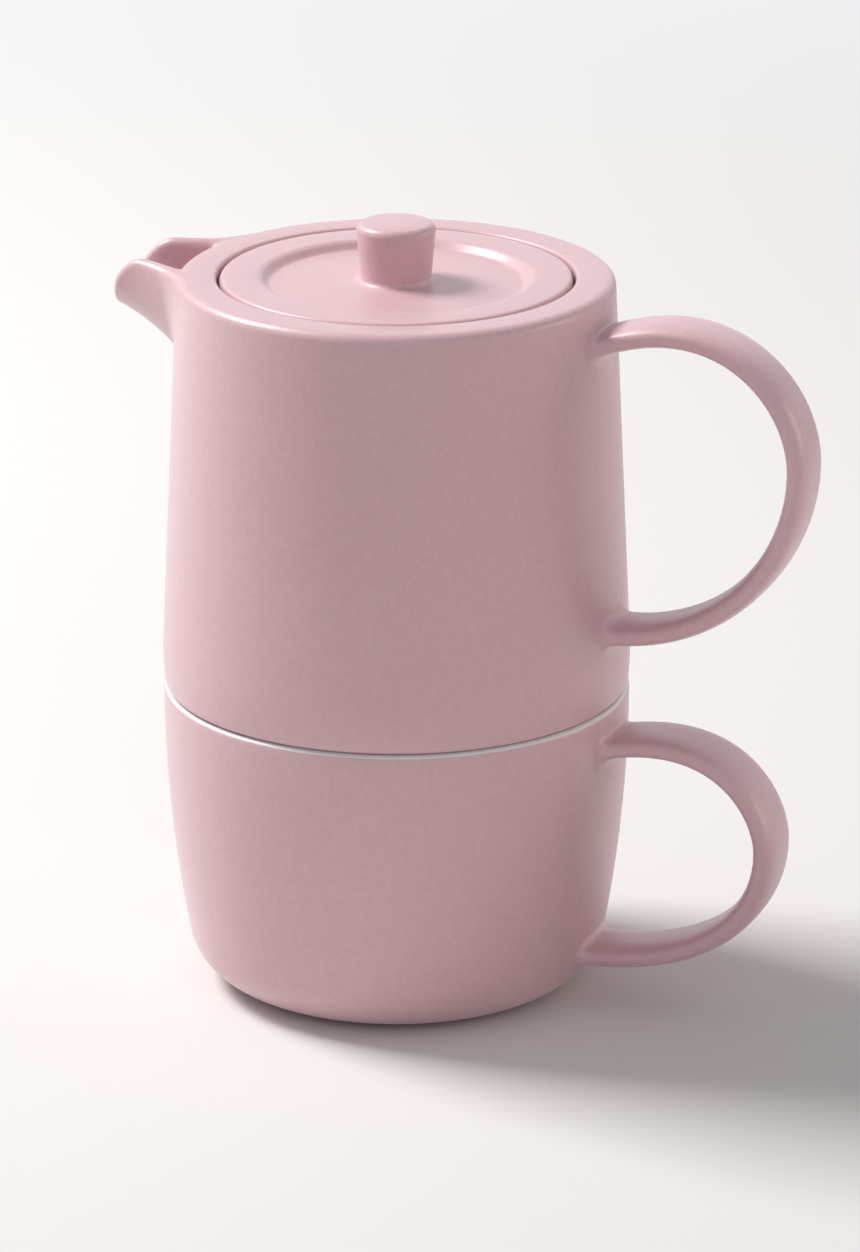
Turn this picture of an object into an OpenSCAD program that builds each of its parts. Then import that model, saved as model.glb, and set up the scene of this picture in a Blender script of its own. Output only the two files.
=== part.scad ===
// Tea for one: a small teapot that stands in the mouth of its own cup, both cast in stoneware.
// Sizes are in millimetres and Z points up. The origin is the centre of the cup's foot, on the table.
// Both handles reach out along +X and the spout along -X, so the XZ plane is a plane of symmetry.

/* [Cup] */
// Height of the cup, from the table to the crest of its rim
cup_height = 67; // [58:0.5:90]
// Outside diameter of the cup just below its rim
cup_diameter = 100; // [88:0.5:120]
// Thickness of the cup's wall
cup_wall = 3; // [2.4:0.1:4]
// Thickness of the cup's floor
cup_floor = 4; // [3:0.1:6]
// Radius of the long curve by which the cup's side draws in towards its foot
cup_side_curve = 300; // [220:5:600]
// Radius of the round between the cup's side and its underside
cup_corner = 13; // [9:0.5:18]
// Radius of the rim's edge on the outside
cup_rim_round = 1.2; // [0.8:0.1:1.4]
// Radius of the rim's edge on the inside
cup_lip_round = 0.7; // [0.4:0.1:0.8]
// Outside diameter of the unglazed foot ring
foot_diameter = 61; // [50:1:66]
// Width of the unglazed foot ring
foot_width = 3; // [2:0.1:5]
// How far the foot ring stands below the underside
foot_relief = 0.9; // [0.5:0.1:2]
// How deep the underside is hollowed inside the foot ring, above the table
foot_hollow = 1.9; // [1:0.1:2.5]

/* [Teapot] */
// Height of the teapot, from the cup's rim to the teapot's own rim
pot_height = 90.2; // [75:0.2:120]
// Outside diameter of the teapot at its rim
pot_top_diameter = 93; // [86:0.5:98]
// How much the teapot's belly stands out beyond the cup's rim, each side
pot_overhang = 0.1; // [0:0.1:1]
// Thickness of the teapot's wall
pot_wall = 3.2; // [2.6:0.1:4]
// Thickness of the teapot's floor
pot_floor = 4; // [3:0.1:6]
// Height of the widest place above the cup's rim
belly_height = 7.5; // [6:0.5:12]
// Radius of the belly's curve at the widest place
belly_curve = 60; // [40:1:90]
// Radius of the edge that stands on the cup's rim
pot_corner = 1.8; // [1.2:0.1:2]
// Radius of the round on the outside of the teapot's rim
pot_rim_round = 2.2; // [1.2:0.1:3]
// How far the ring under the teapot reaches down into the cup
nest_depth = 4.8; // [3:0.1:8]
// Width of the ring under the teapot
nest_width = 3.2; // [2.4:0.1:5]
// Gap between the ring under the teapot and the inside of the cup
nest_gap = 0.7; // [0.4:0.1:1.2]

/* [Lid] */
// Diameter of the opening that the lid sits in
opening_diameter = 76; // [68:0.5:78]
// Gap all round between the lid and its opening
lid_gap = 0.7; // [0.4:0.1:1.2]
// Thickness of the lid's edge, which is also the depth of its seat
lid_edge = 3.4; // [2.8:0.1:4.5]
// Width of the ledge that carries the lid
ledge_width = 3.6; // [2.6:0.1:5]
// Thickness of that ledge
ledge_thickness = 2.6; // [2:0.1:4]
// How far the lid's skirt reaches down below the ledge's upper face
skirt_depth = 7; // [5:0.5:12]
// Thickness of the lid's skirt
skirt_wall = 2.8; // [2:0.1:4]
// Gap all round between the skirt and the ledge
skirt_gap = 0.8; // [0.5:0.1:1.5]
// Thickness of the lid's plate
lid_plate = 3.2; // [2.6:0.1:4]
// Diameter of the sunk dish in the lid, where its soft upper edge begins
dish_diameter = 60; // [46:0.5:62]
// Depth of the dish at its edge
dish_depth = 1.9; // [1.3:0.1:2.2]
// How far the dish's floor rises again towards the knob
dish_rise = 0.8; // [0:0.1:0.9]
// Height of the knob above the dish's floor
knob_height = 12.9; // [9:0.1:20]
// Diameter of the knob at its top
knob_top_diameter = 16.8; // [14:0.2:24]
// Diameter of the knob at its foot
knob_foot_diameter = 15; // [12:0.2:20]
// Radius of the knob's upper edge
knob_round = 1.7; // [0.8:0.1:2.5]

/* [Spout] */
// How far the nose of the spout stands out from the teapot's rim
spout_reach = 17; // [13:0.2:24]
// How far the two corners of the spout's lip would stand out from the rim if they weren't rounded
lip_reach = 13.2; // [8:0.1:13.5]
// How far those corners are rounded down
lobe_drop = 4; // [2:0.1:5]
// Width of the spout where it leaves the body
spout_root_width = 38; // [34:0.5:44]
// Width of the spout at its lip
spout_lip_width = 19.6; // [15:0.2:24]
// Depth of the spout where it leaves the body
spout_root_depth = 25; // [20:0.5:30]
// How far the nose of the lip lies below the teapot's rim
nose_drop = 12.2; // [9:0.1:14]
// Thickness of the spout's wall at its lip
spout_wall = 2.8; // [2.2:0.1:3.4]
// Thickness of the spout's flanks where they leave the body
spout_root_wall = 8.2; // [4:0.1:10]
// Diameter of the strainer's holes
strainer_hole = 2.6; // [2:0.1:3]
// Distance from hole to hole in the strainer
strainer_pitch = 4.2; // [3.8:0.1:4.4]
// Holes in the strainer's top row, each row below has one less
strainer_top_row = 4; // [2:1:4]

/* [Handles] */
// Thickness of both handles
handle_thickness = 5.2; // [4:0.1:7]
// Width of the teapot's handle
pot_handle_width = 14; // [10:0.2:18]
// Width of the cup's handle
cup_handle_width = 15.6; // [10:0.2:18]
// Radius of the soft joint where a handle meets its wall
root_round = 2.4; // [1.6:0.1:4.5]
// How far the middle of the teapot's handle stands out from the belly
pot_handle_reach = 40.8; // [30:0.2:55]
// Depth of the teapot's upper handle root below the rim
pot_handle_upper = 10.4; // [9.5:0.1:20]
// Height of the teapot's lower handle root above the cup's rim
pot_handle_lower = 17.3; // [12:0.1:30]
// How far the middle of the cup's handle stands out from the rim
cup_handle_reach = 35.1; // [26:0.2:50]
// Depth of the cup's upper handle root below the rim
cup_handle_upper = 8.4; // [8:0.1:16]
// Height of the cup's lower handle root above the table
cup_handle_lower = 11.4; // [11:0.1:18]

/* [Hidden] */
glaze = [0.86, 0.73, 0.745];
knob_glaze = [0.88, 0.76, 0.77];
round_steps = 120;
arc_steps = 8;
overlap = 0.4;

// Small edges and inner corners that nothing else is fitted to
fine_edge = 0.5;
soft_edge = 0.8;
foot_edge = 0.3;
foot_slope = 0.6;
mouth_round = 0.9;
lid_round = 1.1;
dish_round = 2.6;
dish_corner = 1.6;
dish_tilt = 45;
knob_fillet = 1.2;
knob_crown = 0.4;
skirt_haunch = 2;
pot_inner_corner = 7;
pot_inner_shoulder = 3;

// Levels, from the table upwards
belly_z = cup_height + belly_height;
pot_top = cup_height + pot_height;
ledge_z = pot_top - lid_edge;
nest_z = cup_height - nest_depth;
pot_base_z = cup_height - nest_depth / 2;
pot_floor_z = pot_base_z + pot_floor;
cup_floor_z = foot_hollow + cup_floor;
dish_z = pot_top - dish_depth;

// Radii that the pieces share
cup_r = cup_diameter / 2;
belly_r = cup_r + pot_overhang;
pot_top_r = pot_top_diameter / 2;
opening_r = opening_diameter / 2;
ledge_r = opening_r - ledge_width;
nest_r = cup_r - cup_wall - nest_gap;
lid_r = opening_r - lid_gap;
skirt_r = ledge_r - skirt_gap;

// Points along an arc about a centre, from one angle to another
function arc(centre, radius, from, to, steps = arc_steps) =
    [for (i = [0:steps]) centre + radius * [cos(from + (to - from) * i / steps),
                                            sin(from + (to - from) * i / steps)]];

// Centre of a small circle at a given height that touches a large circle from inside
function inner_touch(centre, radius, small, height) =
    [centre[0] + sqrt(pow(radius - small, 2) - pow(height - centre[1], 2)), height];

// Direction, as an angle, in which one point is seen from another
function bearing(a, b) = atan2(b[1] - a[1], b[0] - a[0]);

// Angle of the normal of the line that touches two circles on their outer side
function shared_normal(c1, r1, c2, r2) = bearing(c1, c2) - acos((r1 - r2) / norm(c2 - c1));

// The cup's side is one long arc that stands upright just below the rim
cup_side = [cup_r - cup_side_curve, cup_height - cup_rim_round];
cup_bend = inner_touch(cup_side, cup_side_curve, cup_corner, foot_relief + cup_corner);
function cup_outer_r(z) = z > cup_bend[1]
    ? cup_side[0] + sqrt(pow(cup_side_curve, 2) - pow(z - cup_side[1], 2))
    : cup_bend[0] + sqrt(pow(cup_corner, 2) - pow(z - cup_bend[1], 2));

// The teapot's side is a belly arc, then a straight taper up to the round of the rim
belly = [belly_r - belly_curve, belly_z];
pot_rim = [pot_top_r - pot_rim_round, pot_top - pot_rim_round];
taper = shared_normal(belly, belly_curve, pot_rim, pot_rim_round);
function pot_outer_r(z) = pot_top_r - pot_rim_round * (1 - 1 / cos(taper)) + (pot_rim[1] - z) * tan(taper);

function cup_profile() =
    let (inside_corner_r = cup_corner - cup_wall)
    let (inside_curve = cup_side_curve - cup_wall)
    let (inside = inner_touch(cup_side, inside_curve, inside_corner_r, cup_floor_z + inside_corner_r))
    let (foot_r = foot_diameter / 2)
    let (lip_r = cup_r - cup_wall + cup_lip_round)
    let (foot_in = foot_r - foot_width)
    concat(
        [[0, foot_hollow], [foot_in - foot_slope, foot_hollow], [foot_in, foot_edge],
         [foot_in + foot_edge, 0], [foot_r - foot_edge, 0], [foot_r, foot_edge],
         [foot_r + foot_slope, foot_relief]],
        arc(cup_bend, cup_corner, -90, bearing(cup_side, cup_bend), 14),
        arc(cup_side, cup_side_curve, bearing(cup_side, cup_bend), 0, 10),
        arc([cup_r - cup_rim_round, cup_height - cup_rim_round], cup_rim_round, 0, 90),
        arc([lip_r, cup_height - cup_lip_round], cup_lip_round, 90, 180),
        arc(cup_side, inside_curve, 0, bearing(cup_side, inside), 10),
        arc(inside, inside_corner_r, bearing(cup_side, inside), -90, 12),
        [[0, cup_floor_z]]);

function pot_outside() =
    let (corner = inner_touch(belly, belly_curve, pot_corner, cup_height + pot_corner))
    let (nest_in = nest_r - nest_width)
    concat(
        [[0, pot_base_z], [nest_in - fine_edge, pot_base_z], [nest_in, pot_base_z - fine_edge],
         [nest_in, nest_z + fine_edge], [nest_in + fine_edge, nest_z], [nest_r - soft_edge, nest_z],
         [nest_r, nest_z + soft_edge], [nest_r, cup_height]],
        arc(corner, pot_corner, -90, bearing(belly, corner), 6),
        arc(belly, belly_curve, bearing(belly, corner), taper, 6),
        arc(pot_rim, pot_rim_round, taper, 90),
        [[0, pot_top]]);

function pot_inside() =
    let (low_r = belly_r - pot_wall)
    let (high_r = pot_top_r - pot_wall)
    let (corner = [low_r - pot_inner_corner, pot_floor_z + pot_inner_corner])
    let (ledge_under = ledge_z - ledge_thickness)
    let (shoulder = [high_r - pot_inner_shoulder, ledge_under - pot_inner_shoulder])
    let (mouth = [opening_r + mouth_round, pot_top - mouth_round])
    concat(
        [[0, pot_floor_z]],
        arc(corner, pot_inner_corner, -90, 0),
        arc(shoulder, pot_inner_shoulder, 0, 90, 5),
        [[ledge_r + fine_edge, ledge_under], [ledge_r, ledge_under + fine_edge],
         [ledge_r, ledge_z - fine_edge], [ledge_r + fine_edge, ledge_z], [opening_r, ledge_z]],
        arc(mouth, mouth_round, 180, 90, 4),
        [[mouth[0], pot_top + overlap], [0, pot_top + overlap]]);

function lid_profile() =
    let (skirt_in = skirt_r - skirt_wall)
    let (skirt_z = ledge_z - skirt_depth)
    let (under_z = dish_z - lid_plate)
    let (dish_r = dish_diameter / 2)
    let (rounds = dish_round + dish_corner)
    let (wall_drop = dish_depth - rounds * (1 - cos(dish_tilt)))
    let (floor_r = dish_r - rounds * sin(dish_tilt) - wall_drop / tan(dish_tilt))
    let (knob_foot_r = knob_foot_diameter / 2)
    let (knob_top_r = knob_top_diameter / 2)
    let (knob_z = dish_z + dish_rise)
    let (knob_top_z = knob_z + knob_height)
    concat(
        [[0, under_z + dish_rise], [skirt_in - skirt_haunch, under_z], [skirt_in, under_z - skirt_haunch],
         [skirt_in, skirt_z + soft_edge], [skirt_in + soft_edge, skirt_z], [skirt_r - soft_edge, skirt_z],
         [skirt_r, skirt_z + soft_edge], [skirt_r, ledge_z], [lid_r - fine_edge, ledge_z],
         [lid_r, ledge_z + fine_edge]],
        arc([lid_r - lid_round, pot_top - lid_round], lid_round, 0, 90),
        arc([dish_r, pot_top - dish_round], dish_round, 90, 90 + dish_tilt, 6),
        arc([floor_r, dish_z + dish_corner], dish_corner, dish_tilt - 90, -90, 5),
        [[floor_r / 2, dish_z + dish_rise * 3 / 4]],
        arc([knob_foot_r + knob_fillet, knob_z + knob_fillet], knob_fillet, 270, 180, 5),
        arc([knob_top_r - knob_round, knob_top_z - knob_round - knob_crown], knob_round, -4, 84),
        [[knob_top_r / 2, knob_top_z - knob_crown / 4], [0, knob_top_z]]);

// A closed skin over rings of points, each ring as long as the others, with faces given for both ends
module skin(rings, first_end, last_end) {
    n = len(rings[0]);
    points = [for (ring = rings) for (p = ring) p];
    sides = [for (i = [0:len(rings) - 2]) for (j = [0:n - 1])
        let (a = i * n + j, b = i * n + (j + 1) % n)
        each [[a, b + n, b], [a, a + n, b + n]]];
    polyhedron(points = points, faces = concat(sides, first_end, last_end), convexity = 8);
}

// Triangles that close a ring of n points from its first point, and the same seen from behind
function fan(first, n) = [for (j = [1:n - 2]) [first, first + j, first + j + 1]];
function flip(faces) = [for (f = faces) [f[2], f[1], f[0]]];

// A point on a cubic curve through the first and last of four points
function cubic(p, t) = pow(1 - t, 3) * p[0] + 3 * pow(1 - t, 2) * t * p[1]
    + 3 * (1 - t) * t * t * p[2] + pow(t, 3) * p[3];
function cubic_way(p, t) = 3 * pow(1 - t, 2) * (p[1] - p[0]) + 6 * (1 - t) * t * (p[2] - p[1])
    + 3 * t * t * (p[3] - p[2]);
function unit(v) = v / norm(v);
function blend(a, b, t) = a + (b - a) * t;
function clamp01(t) = max(0, min(1, t));

// How much a handle spreads at a distance from its wall: a round that runs out a little inside the wall
root_sink = 0.35;
spread_floor = 0.1;
function spread(distance) =
    let (d = max(spread_floor, clamp01((distance / root_round + root_sink) / (1 + root_sink))))
    root_round * (1 - sqrt(1 - pow(1 - d, 2)));

// One cross-section of a handle: a flat oval, squarer than an ellipse
oval_steps = 24;
oval_power = 0.72;
function squared(v) = sign(v) * pow(abs(v), oval_power);
function oval(half_width, half_thickness) =
    [for (k = [0:oval_steps - 1])
        let (angle = 360 * k / oval_steps)
        [half_width * squared(cos(angle)), half_thickness * squared(sin(angle))]];

// A handle swept along two cubic curves that meet at its furthest point.
// upper and lower: root heights; wall_u and wall_l: wall radius there; out: furthest point
// rise: slope at the upper root; pulls: how stiffly the curve leaves each of its three points
handle_steps = 15;
handle_embed = 2.3;
root_turn = 9;
module handle(upper, wall_u, lower, wall_l, out, rise, pulls, width) {
    start = [wall_u - handle_embed, upper];
    end = [wall_l - handle_embed, lower];
    first = [start, start + pulls[0] * [cos(rise), sin(rise)], out + [0, pulls[1]], out];
    second = [out, out - [0, pulls[2]], end + [pulls[3], 0], end];
    // The steps along the way are shorter near both roots, where the section changes most
    closing = [for (i = [0:handle_steps]) pow(i / handle_steps, 1.8)];
    places = concat(
        [for (t = closing) [cubic(first, t), cubic_way(first, t)]],
        [for (i = [1:handle_steps])
            let (t = 1 - closing[handle_steps - i])
            [cubic(second, t), cubic_way(second, t)]]);
    rings = [for (place = places)
        let (c = place[0], way = unit(place[1]))
        let (inside = min(norm(c - start), norm(c - end)))
        let (normal = [-way[1], way[0]])
        let (upright = [0, normal[1] < 0 ? -1 : 1])
        let (up = unit(blend(upright, normal, clamp01(inside / root_turn))))
        let (extra = spread(inside - handle_embed))
        [for (q = oval(width / 2 + extra, handle_thickness / 2 + extra))
            [c[0] + up[0] * q[1], q[0], c[1] + up[1] * q[1]]]];
    last = (len(rings) - 1) * oval_steps;
    skin(rings, fan(0, oval_steps), flip(fan(last, oval_steps)));
}

module cup_handle() {
    lower = cup_handle_lower;
    upper = cup_height - cup_handle_upper;
    span = upper - lower;
    handle(upper, cup_outer_r(upper), lower, cup_outer_r(lower),
           [cup_r + cup_handle_reach, lower + 0.6 * span], 15.5,
           [0.6 * span, 0.18 * span, 0.32 * span, 0.6 * span], cup_handle_width);
}

module pot_handle() {
    lower = cup_height + pot_handle_lower;
    upper = pot_top - pot_handle_upper;
    span = upper - lower;
    handle(upper, pot_outer_r(upper), lower, pot_outer_r(lower),
           [belly_r + pot_handle_reach, lower + 0.64 * span], 25,
           [0.49 * span, 0.255 * span, 0.3 * span, 0.44 * span], pot_handle_width);
}

// The spout is a round-bottomed channel with rounded upper edges and a full round at its lip.
// s runs from the body (0) to the lip (1)
channel_steps = 16;
edge_angles = [32, 80, 100, 148];
edge_steps = len(edge_angles);
lip_round = spout_wall / 2;
lip_angles = [25, 50, 72];
lip_push = lip_round * sin(lip_angles[2]);

// Near the lip the upper edges bend down like part of a circle, which rounds the lip's corners
lobe_start = 0.85;
lobe_bend = 0.85;
function bent(t) = 1 - sqrt(1 - pow(lobe_bend * t, 2));
// The flanks sweep in towards the lip, where they run straight out
flank_sweep = 1.5;
function edge_drop(s) = lobe_drop * bent(clamp01((s - lobe_start) / (1 - lobe_start))) / bent(1);

// One side of the channel, from one upper edge down round the bed and up to the other.
// whole is the depth of the outer side, so that both sides reach equally far at equal heights
function channel_side(s, half, deep, whole) =
    let (turn = acos(edge_drop(s) / (deep - lip_round)))
    [for (k = [0:channel_steps])
        let (phi = turn * (2 * k / channel_steps - 1))
        let (y = half * sin(phi), fall = (deep - lip_round) * cos(phi))
        let (wall_x = sqrt(pow(pot_top_r - pot_wall / 2, 2) - y * y))
        let (reach = blend(lip_reach, spout_reach, fall / (whole - lip_round)))
        [-blend(wall_x, pot_top_r - lip_push + reach, s), y, pot_top - lip_round - fall]];

// One cross-section: down the outer side, over one edge, back along the inner side, over the other edge.
// turn is the angle round the lip, at which the wall is thinner and stands further out
function channel(s, turn) =
    let (thin = lip_round * (1 - cos(turn)), push = [-lip_round * sin(turn), 0, 0])
    let (half = blend(spout_lip_width, spout_root_width, pow(1 - s, flank_sweep)) / 2)
    let (deep = blend(spout_root_depth, nose_drop, pow(s, 0.8)))
    let (flank = blend(spout_root_wall, spout_wall, s), bed = blend(spout_root_wall / 2, spout_wall, s))
    let (outer = channel_side(s, half - thin, deep - thin, deep))
    let (inner = channel_side(s, half - flank + thin, deep - bed + thin, deep))
    let (n = channel_steps, round = lip_round - thin, flat = flank / 2 - lip_round)
    let (edge = [for (a = edge_angles)
        push + [0, (a < 90 ? flat : -flat) + round * cos(a), round * sin(a)]])
    let (far_edge = [for (e = edge) [e[0], -e[1], e[2]]])
    concat(
        [for (p = outer) p + push],
        [for (e = edge) blend(outer[n], inner[n], 0.5) + e],
        [for (k = [n:-1:0]) inner[k] + push],
        [for (k = [edge_steps - 1:-1:0]) blend(outer[0], inner[0], 0.5) + far_edge[k]]);

// Triangles that close one end of the channel: a strip from the outer to the inner side,
// then a fan over the round of each upper edge
function channel_end(first) =
    let (n = channel_steps, inner = 2 * n + edge_steps + 1)
    concat(
        [for (k = [0:n - 1]) each [[first + k, first + inner - k, first + k + 1],
                                   [first + k + 1, first + inner - k, first + inner - k - 1]]],
        [for (k = [1:edge_steps]) [first + n, first + n + k + 1, first + n + k]],
        [for (k = [1:edge_steps])
            [first + inner, first + (k == edge_steps ? 0 : inner + k + 1), first + inner + k]]);

module spout() {
    lobe_steps = 6;
    body_steps = 8;
    lobes = [for (i = [lobe_steps:-1:1]) blend(lobe_start, 1, pow(i / lobe_steps, 0.7))];
    rings = concat(
        [for (a = [len(lip_angles) - 1:-1:0]) channel(1, lip_angles[a])],
        [for (s = lobes) channel(s, 0)],
        [for (i = [body_steps:-1:0]) channel(lobe_start * i / body_steps, 0)]);
    last = (len(rings) - 1) * len(rings[0]);
    skin(rings, flip(channel_end(0)), channel_end(last));
}

// The holes behind the spout that hold the leaves back, in rows that step in by half a pitch
strainer_drop = 3;
row_pitch = strainer_pitch * 0.9;
module strainer() {
    top = ledge_z - ledge_thickness - strainer_drop;
    for (row = [0:strainer_top_row - 2])
        let (count = strainer_top_row - row, z = top - row * row_pitch)
            for (k = [0:count - 1])
                translate([-pot_outer_r(z) - fine_edge, (k - (count - 1) / 2) * strainer_pitch, z])
                    rotate([0, 90, 0])
                        cylinder(d = strainer_hole, h = 2 * pot_wall, $fn = 32);
}

module cup() {
    color(glaze) {
        rotate_extrude($fn = round_steps) polygon(cup_profile());
        cup_handle();
    }
}

module teapot() {
    color(glaze) difference() {
        union() {
            rotate_extrude($fn = round_steps) polygon(pot_outside());
            pot_handle();
            spout();
        }
        rotate_extrude($fn = round_steps) polygon(pot_inside());
        strainer();
    }
}

module lid() {
    color(knob_glaze) rotate_extrude($fn = round_steps) polygon(lid_profile());
}

cup();
teapot();
lid();
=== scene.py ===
# %% [markdown]
# # Tea for one: a teapot that stands in its own cup
# This lesson models three pieces of glazed stoneware: a cup, a teapot that nests on the cup's rim,
# and the teapot's sunk lid. Each of them is one piece of clay in real life, with its handle and
# spout stuck on while the clay was soft, so each becomes one closed mesh here.
# The measured model comes first. It sets the size and the place of every piece, and its three
# nodes give way to the finished pieces near the end.

import math

import bmesh
import bpy
import numpy as np
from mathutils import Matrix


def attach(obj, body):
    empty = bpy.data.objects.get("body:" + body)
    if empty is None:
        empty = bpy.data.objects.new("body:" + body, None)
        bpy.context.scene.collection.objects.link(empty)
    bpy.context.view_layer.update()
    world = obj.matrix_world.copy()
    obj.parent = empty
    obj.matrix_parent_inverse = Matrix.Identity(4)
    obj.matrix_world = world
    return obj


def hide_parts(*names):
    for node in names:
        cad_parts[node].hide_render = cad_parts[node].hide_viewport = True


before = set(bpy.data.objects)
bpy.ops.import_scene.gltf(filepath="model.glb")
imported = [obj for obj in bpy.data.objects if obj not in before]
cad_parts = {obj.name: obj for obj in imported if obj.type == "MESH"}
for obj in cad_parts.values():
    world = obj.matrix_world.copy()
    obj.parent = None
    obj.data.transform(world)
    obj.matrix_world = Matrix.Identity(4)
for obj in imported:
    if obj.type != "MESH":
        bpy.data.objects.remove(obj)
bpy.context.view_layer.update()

# %% [markdown]
# ## Sizes
# All sizes are in millimetres, as a potter would note them. The pieces are modelled at a thousand
# times life size, one Blender unit to the millimetre, because the tools for cutting and joining
# meshes work best with sizes near one. The last step of each piece shrinks it to metres.
# These values are the measured model's own.

# %% Sizes of the cup
CUP_HEIGHT, CUP_RADIUS, CUP_WALL, CUP_FLOOR = 67.0, 50.0, 3.0, 4.0
SIDE_CURVE, CUP_CORNER = 300.0, 13.0
RIM_ROUND, LIP_ROUND = 1.2, 0.7
FOOT_RADIUS, FOOT_WIDTH, FOOT_RELIEF, FOOT_HOLLOW = 30.5, 3.0, 0.9, 1.9
FOOT_ROUND = 0.4

# %% Sizes of the teapot
POT_TOP = CUP_HEIGHT + 90.2
POT_TOP_RADIUS, BELLY_RADIUS, BELLY_CURVE = 46.5, 50.1, 60.0
BELLY_Z = CUP_HEIGHT + 7.5
POT_WALL, POT_FLOOR, POT_CORNER, POT_RIM_ROUND = 3.2, 4.0, 1.8, 2.2
NEST_DEPTH, NEST_WIDTH, NEST_RADIUS = 4.8, 3.2, 46.3
NEST_IN_ROUND, NEST_OUT_ROUND, OPENING_ROUND, LEDGE_ROUND = 0.7, 0.9, 0.9, 0.6
CEILING_ROUND, FLOOR_ROUND = 3.0, 7.0
NEST_Z = CUP_HEIGHT - NEST_DEPTH
POT_BASE_Z = CUP_HEIGHT - NEST_DEPTH / 2

# %% Sizes of the lid and of its seat
OPENING_RADIUS, LID_RADIUS, LEDGE_RADIUS, SKIRT_RADIUS = 38.0, 37.3, 34.4, 33.6
LID_EDGE, LEDGE_THICKNESS, SKIRT_DEPTH, SKIRT_WALL, LID_PLATE = 3.4, 2.6, 7.0, 2.8, 3.2
DISH_RADIUS, DISH_DEPTH, DISH_RISE = 30.0, 1.9, 0.8
DISH_ROUND, DISH_CORNER, DISH_TILT = 2.6, 1.6, 45.0
KNOB_HEIGHT, KNOB_TOP_RADIUS, KNOB_FOOT_RADIUS, KNOB_ROUND = 12.9, 8.4, 7.5, 1.7
KNOB_CROWN, KNOB_ROOT_ROUND = 0.35, 1.2
SKIRT_TOP_ROUND, SKIRT_ROUND, LID_UNDER_ROUND, LID_EDGE_ROUND = 2.0, 0.8, 0.6, 1.1
LEDGE_Z = POT_TOP - LID_EDGE
DISH_Z = POT_TOP - DISH_DEPTH

# %% [markdown]
# ## Helpers for selecting
# An operator acts on everything that is selected, so each step starts from an empty selection.
# `pick` chooses vertices by their place, which is how a script points at a part of a mesh.

# %% Selecting
def start_clean():
    active = bpy.context.view_layer.objects.active
    if active and active.mode != "OBJECT":
        bpy.ops.object.mode_set(mode="OBJECT")
    bpy.ops.object.select_all(action="DESELECT")


def work_on(piece):
    start_clean()
    piece.select_set(True)
    bpy.context.view_layer.objects.active = piece


def pick(piece, wanted):
    """Selects the vertices whose place passes the test, and stays in edit mode."""
    work_on(piece)
    mesh = piece.data
    mesh.polygons.foreach_set("select", [False] * len(mesh.polygons))
    mesh.edges.foreach_set("select", [False] * len(mesh.edges))
    mesh.vertices.foreach_set("select", [bool(wanted(v.co)) for v in mesh.vertices])
    bpy.ops.object.mode_set(mode="EDIT")
    bpy.ops.mesh.select_mode(type="VERT")


# %% [markdown]
# ## Throwing on the wheel
# Cup, pot and lid are round, so they are made the way a potter throws them: one ring of clay is
# laid down, and the wall is pulled up from it, ring by ring. Here a circle is extruded upwards
# and resized to the next radius, again and again, from the middle of the underside, up the
# outside, over the rim and down the inside to the middle of the floor. That leaves a wall of the
# right thickness with no need for a second skin. A spin of a drawn profile gives the same mesh,
# but leaves a seam to be merged.

# %% Points of a profile
def arc(centre, radius, first, last, steps):
    """Points on a part of a circle, from the first angle to the last in degrees."""
    turns = [math.radians(first + (last - first) * i / steps) for i in range(steps + 1)]
    return [(centre[0] + radius * math.cos(t), centre[1] + radius * math.sin(t)) for t in turns]


def even_out(profile, longest=6.0):
    """Adds points wherever two neighbours on a profile lie further apart than longest."""
    points = [profile[0]]
    for a, b in zip(profile, profile[1:]):
        count = max(1, math.ceil(math.dist(a, b) / longest))
        for i in range(1, count + 1):
            points.append((a[0] + (b[0] - a[0]) * i / count, a[1] + (b[1] - a[1]) * i / count))
    return points


# %% The wheel
NEAR = 0.01


def close_ring(rise):
    """Draws the selected ring together in one point on the axis."""
    bpy.ops.mesh.extrude_edges_move(TRANSFORM_OT_translate={"value": (0, 0, rise)})
    bpy.ops.mesh.merge(type="CENTER")


def throw(name, profile, columns=160):
    """Pulls a round piece up from a circle; the profile starts and ends on the axis."""
    rings = even_out(profile)
    radius, height = rings[1]
    start_clean()
    bpy.ops.mesh.primitive_circle_add(vertices=columns, radius=radius, location=(0, 0, height))
    piece = bpy.context.object
    piece.name = piece.data.name = name
    bpy.ops.object.transform_apply(location=True)
    bpy.ops.object.mode_set(mode="EDIT")
    bpy.ops.mesh.select_all(action="SELECT")
    for next_radius, next_height in rings[2:-1]:
        bpy.ops.mesh.extrude_edges_move(
            TRANSFORM_OT_translate={"value": (0, 0, next_height - height)})
        change = next_radius / radius
        bpy.ops.transform.resize(value=(change, change, 1), center_override=(0, 0, 0))
        radius, height = next_radius, next_height
    close_ring(rings[-1][1] - height)
    first_radius, first_height = rings[1]
    pick(piece, lambda p: abs(p.z - first_height) < NEAR
         and abs(math.hypot(p.x, p.y) - first_radius) < NEAR)
    close_ring(rings[0][1] - first_height)
    tidy_mesh(piece)
    return piece


def tidy_mesh(piece):
    """Merges doubles, then turns every face outwards."""
    work_on(piece)
    bpy.ops.object.mode_set(mode="EDIT")
    bpy.ops.mesh.select_all(action="SELECT")
    bpy.ops.mesh.remove_doubles(threshold=0.0005)
    bpy.ops.mesh.normals_make_consistent(inside=False)
    bpy.ops.object.mode_set(mode="OBJECT")


def report(piece):
    """Prints what a mesh holds, and whether any edge is open."""
    mesh = bmesh.new()
    mesh.from_mesh(piece.data)
    loose = sum(1 for e in mesh.edges if len(e.link_faces) != 2)
    print(f"{piece.name}: {len(mesh.verts)} vertices, {len(mesh.faces)} faces, "
          f"{loose} open edges, volume {mesh.calc_volume(signed=True) / 1000:.1f} cm3")
    mesh.free()


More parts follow.
